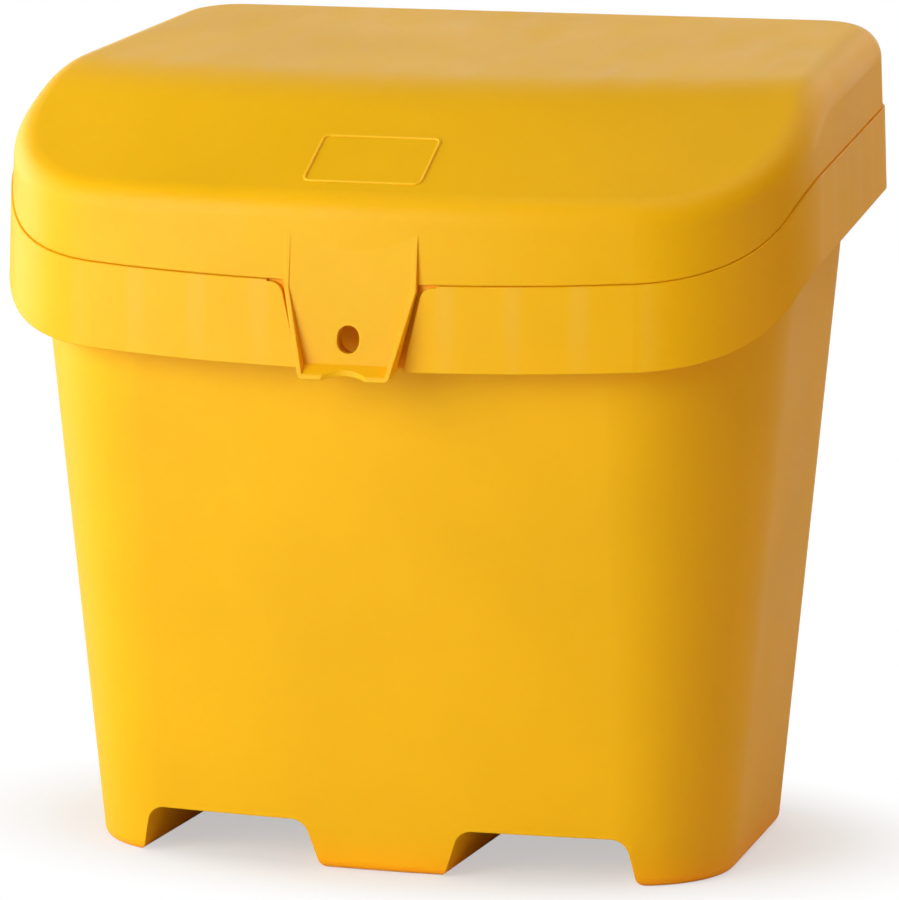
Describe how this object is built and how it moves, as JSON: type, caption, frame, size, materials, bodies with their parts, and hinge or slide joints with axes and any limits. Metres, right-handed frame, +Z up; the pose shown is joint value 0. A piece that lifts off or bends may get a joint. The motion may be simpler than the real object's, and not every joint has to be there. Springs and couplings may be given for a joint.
{
  "type": "grit salt bin",
  "caption": "Small drafted plastic bin on hollow feet, with an S-curved collar, a hinged sloping lid and a slotted hasp flap for a padlock.",
  "frame": {"origin": "on the ground, in the middle of the bounding box's base", "axes": "+Z up; -Y to the front, where the hasp flap is; +X to the right seen from the front"},
  "size_m": [0.4466, 0.3564, 0.4358],
  "materials": {
    "tub_plastic": "satin moulded yellow polymer",
    "lid_plastic": "satin moulded yellow polymer",
    "pin_plastic": "black nylon"
  },
  "bodies": {
    "tub": {"tub": "tub_plastic", "hinge_pins": "pin_plastic"},
    "lid": {"lid": "lid_plastic"}
  },
  "joints": [
    {"name": "lid_hinge", "type": "hinge", "parent": "tub", "child": "lid", "pos_m": [0, 0.1722, 0.38756], "axis": [-1, 0, 0], "range_deg": [0, 105]}
  ]
}
